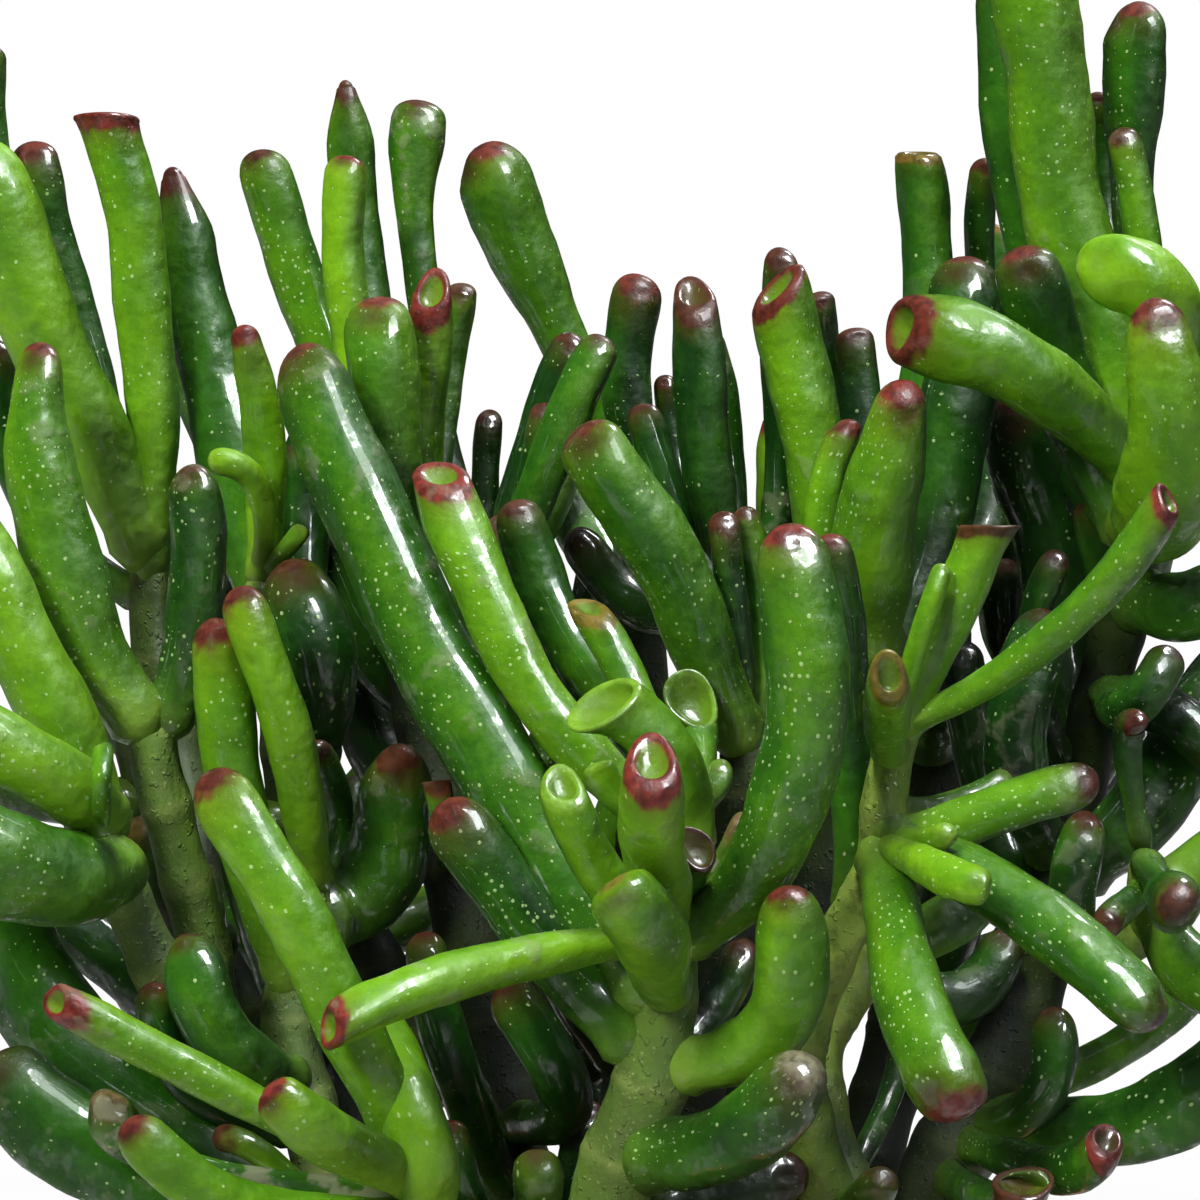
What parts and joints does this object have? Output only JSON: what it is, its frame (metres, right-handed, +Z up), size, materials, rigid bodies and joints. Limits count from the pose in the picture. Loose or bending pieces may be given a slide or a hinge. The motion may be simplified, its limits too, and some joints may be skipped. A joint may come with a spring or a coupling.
{
  "type": "potted trumpet jade plant",
  "caption": "Trumpet jade with finger-like fleshy leaves on branching stems, standing in potting mix in a plain round terracotta pot.",
  "frame": {"origin": "centre of the pot's flat underside", "axes": "+Z up the pot's axis; -Y is the front of the plant, which its fullest crown faces; +X is to the right seen from the front"},
  "size_m": [0.1792, 0.1508, 0.285],
  "materials": {
    "terracotta": "matte",
    "potting_mix": "matte",
    "foliage": "satin"
  },
  "bodies": {
    "root": {"pot": "terracotta", "potting_mix": "potting_mix", "stem_front": "foliage", "stem_front_right": "foliage", "stem_right": "foliage", "stem_front_left": "foliage", "stem_left": "foliage", "stem_centre_left": "foliage", "stem_centre": "foliage", "stem_back_left": "foliage", "stem_back": "foliage", "stem_back_right": "foliage"}
  },
  "joints": []
}
